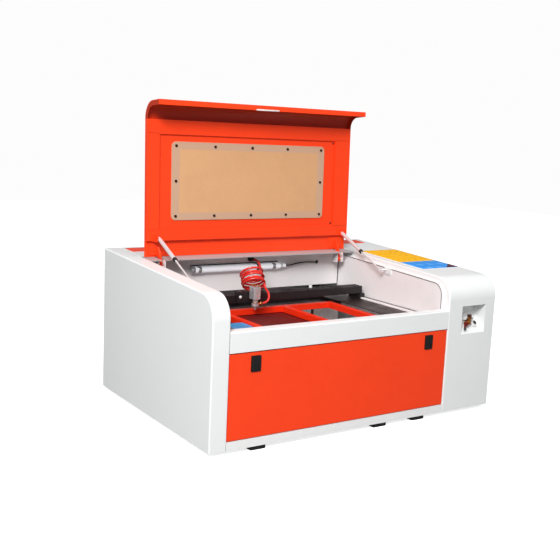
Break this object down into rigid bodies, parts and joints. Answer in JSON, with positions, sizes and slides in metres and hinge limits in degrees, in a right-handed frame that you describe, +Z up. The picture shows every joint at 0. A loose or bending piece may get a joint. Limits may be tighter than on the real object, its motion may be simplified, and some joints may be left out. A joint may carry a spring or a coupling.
{
  "type": "desktop laser cutter",
  "caption": "Desktop laser cutter with a lift-up lid on gas struts, drop-down front door, moving gantry and laser head over a clamp frame, sloping top with a keypad console.",
  "frame": {"origin": "middle of the base, on the surface that the feet stand on", "axes": "+X to the right seen from the front, +Y from the front to the back, +Z up"},
  "size_m": [1, 0.7416, 0.9023],
  "materials": {
    "white_enamel": "semi-gloss powder coat",
    "inner_grey": "semi-gloss powder coat",
    "orange_enamel": "semi-gloss powder coat",
    "black_metal": "black oxide and black paint",
    "bed_steel": "dark red primer",
    "kraft_film": "paper film on mirror acrylic",
    "screw_steel": "zinc plated",
    "bright_steel": "polished",
    "silver_paint": "silver lacquer",
    "rubber_black": "moulded",
    "black_plastic": "moulded",
    "yellow_keypad": "printed membrane",
    "clear_glass": "borosilicate",
    "case_steel": "galvanised",
    "board_green": "solder mask",
    "head_aluminium": "clear anodised",
    "light_tube": "opal diffuser",
    "red_hose": "polyurethane",
    "brass_bare": "turned",
    "brown_plastic": "moulded",
    "handle_red": "dipped",
    "port_white": "moulded"
  },
  "bodies": {
    "root": {"air_hose_tail": "red_hose", "base_pan": "white_enamel", "clamp_rails": "orange_enamel", "clamp_stiles": "orange_enamel", "console_cover": "white_enamel", "control_board": "board_green", "control_panel": "yellow_keypad", "exhaust_spigot": "white_enamel", "first_mirror": "head_aluminium", "front_rail": "white_enamel", "front_sill": "white_enamel", "gas_port": "port_white", "hinge_brackets": "white_enamel", "hose_fitting": "black_plastic", "inner_back_wall": "inner_grey", "laser_tube": "clear_glass", "led_lead": "black_plastic", "led_tube": "light_tube", "left_cover": "white_enamel", "power_inlet": "black_plastic", "power_supply": "case_steel", "rail_covers": "black_metal", "rear_deck": "white_enamel", "rear_panel": "white_enamel", "rim_left": "inner_grey", "rim_right": "inner_grey", "rubber_feet": "rubber_black", "strut_brackets": "white_enamel", "tube_holders": "black_plastic", "valve_body": "brass_bare", "valve_knob": "brown_plastic", "work_bed": "bed_steel", "y_motor": "black_metal", "y_rails": "black_metal"},
    "lid": {"lid_shell": "orange_enamel", "lid_liner": "orange_enamel", "lid_window": "kraft_film", "lid_screws": "screw_steel", "lid_arms": "orange_enamel", "strut_studs": "screw_steel"},
    "strut_rod_left": {"strut_rod_left": "bright_steel"},
    "strut_rod_right": {"strut_rod_right": "bright_steel"},
    "strut_cylinder_left": {"strut_cylinder_left": "silver_paint"},
    "strut_cylinder_right": {"strut_cylinder_right": "silver_paint"},
    "front_door": {"front_door": "orange_enamel"},
    "latch_left": {"door_latch_left": "black_plastic"},
    "latch_right": {"door_latch_right": "black_plastic"},
    "tube_cover": {"tube_cover": "orange_enamel"},
    "gantry": {"x_beam": "black_metal", "gantry_trolleys": "black_metal", "x_motor": "black_metal", "second_mirror": "head_aluminium", "air_hose_coil": "red_hose"},
    "head": {"carriage": "black_metal", "laser_head": "head_aluminium", "air_hose_end": "red_hose"},
    "lens": {"lens_tube": "head_aluminium"},
    "drive_shaft": {"drive_shaft": "bright_steel"},
    "power_switch": {"power_switch": "black_plastic"},
    "valve_handle": {"valve_handle": "handle_red"}
  },
  "joints": [
    {"name": "lid_hinge", "type": "hinge", "parent": "root", "child": "lid", "pos_m": [0, 0.12393, 0.41287], "axis": [1, 0, 0], "range_deg": [0, 94.4]},
    {"name": "strut_left_swing", "type": "hinge", "parent": "root", "child": "strut_rod_left", "pos_m": [-0.412, -0.08625, 0.406], "axis": [1, 0, 0], "range_deg": [-28, 2]},
    {"name": "strut_right_swing", "type": "hinge", "parent": "root", "child": "strut_rod_right", "pos_m": [0.268, -0.08625, 0.406], "axis": [1, 0, 0], "range_deg": [-28, 2]},
    {"name": "strut_left_slide", "type": "slide", "parent": "strut_rod_left", "child": "strut_cylinder_left", "axis": [0, 0.9105, 0.4135], "range_m": [-0.115, 0.002]},
    {"name": "strut_right_slide", "type": "slide", "parent": "strut_rod_right", "child": "strut_cylinder_right", "axis": [0, 0.9105, 0.4135], "range_m": [-0.115, 0.002]},
    {"name": "door_hinge", "type": "hinge", "parent": "root", "child": "front_door", "pos_m": [0, -0.36775, 0.0368], "axis": [1, 0, 0], "range_deg": [0, 90]},
    {"name": "latch_left_press", "type": "hinge", "parent": "front_door", "child": "latch_left", "pos_m": [-0.369, -0.36525, 0.255], "axis": [1, 0, 0], "range_deg": [-10, 0], "stiffness_Nm_per_rad": 0.05},
    {"name": "latch_right_press", "type": "hinge", "parent": "front_door", "child": "latch_right", "pos_m": [0.231, -0.36525, 0.255], "axis": [1, 0, 0], "range_deg": [-10, 0], "stiffness_Nm_per_rad": 0.05},
    {"name": "tube_cover_hinge", "type": "hinge", "parent": "root", "child": "tube_cover", "pos_m": [0, 0.29925, 0.44921], "axis": [1, 0, 0], "range_deg": [-100, 0]},
    {"name": "gantry_slide", "type": "slide", "parent": "root", "child": "gantry", "axis": [0, 1, 0], "range_m": [-0.28, 0.04], "deforming": ["air_hose_tail", "air_hose_coil"]},
    {"name": "head_slide", "type": "slide", "parent": "gantry", "child": "head", "axis": [1, 0, 0], "range_m": [-0.15, 0.305], "deforming": ["air_hose_coil"]},
    {"name": "lens_focus", "type": "slide", "parent": "head", "child": "lens", "axis": [0, 0, 1], "range_m": [-0.004, 0.01]},
    {"name": "shaft_turn", "type": "hinge", "parent": "root", "child": "drive_shaft", "pos_m": [0, 0.14075, 0.284], "axis": [1, 0, 0], "range_deg": [-2320, 340]},
    {"name": "switch_rock", "type": "hinge", "parent": "root", "child": "power_switch", "pos_m": [0.41, 0.31575, 0.13], "axis": [1, 0, 0], "range_deg": [-12, 0]},
    {"name": "valve_turn", "type": "hinge", "parent": "root", "child": "valve_handle", "pos_m": [0.392, -0.36125, 0.279], "axis": [0, 1, 0], "range_deg": [0, 90]}
  ],
  "couplings": [
    {"joint": "strut_left_swing", "follows": "lid_hinge", "ratio": -0.27339},
    {"joint": "strut_right_swing", "follows": "lid_hinge", "ratio": -0.27339},
    {"joint": "strut_left_slide", "follows": "lid_hinge", "m_per_rad": -0.062976},
    {"joint": "strut_right_slide", "follows": "lid_hinge", "m_per_rad": -0.062976},
    {"joint": "shaft_turn", "follows": "gantry_slide", "rad_per_m": 142.86}
  ]
}
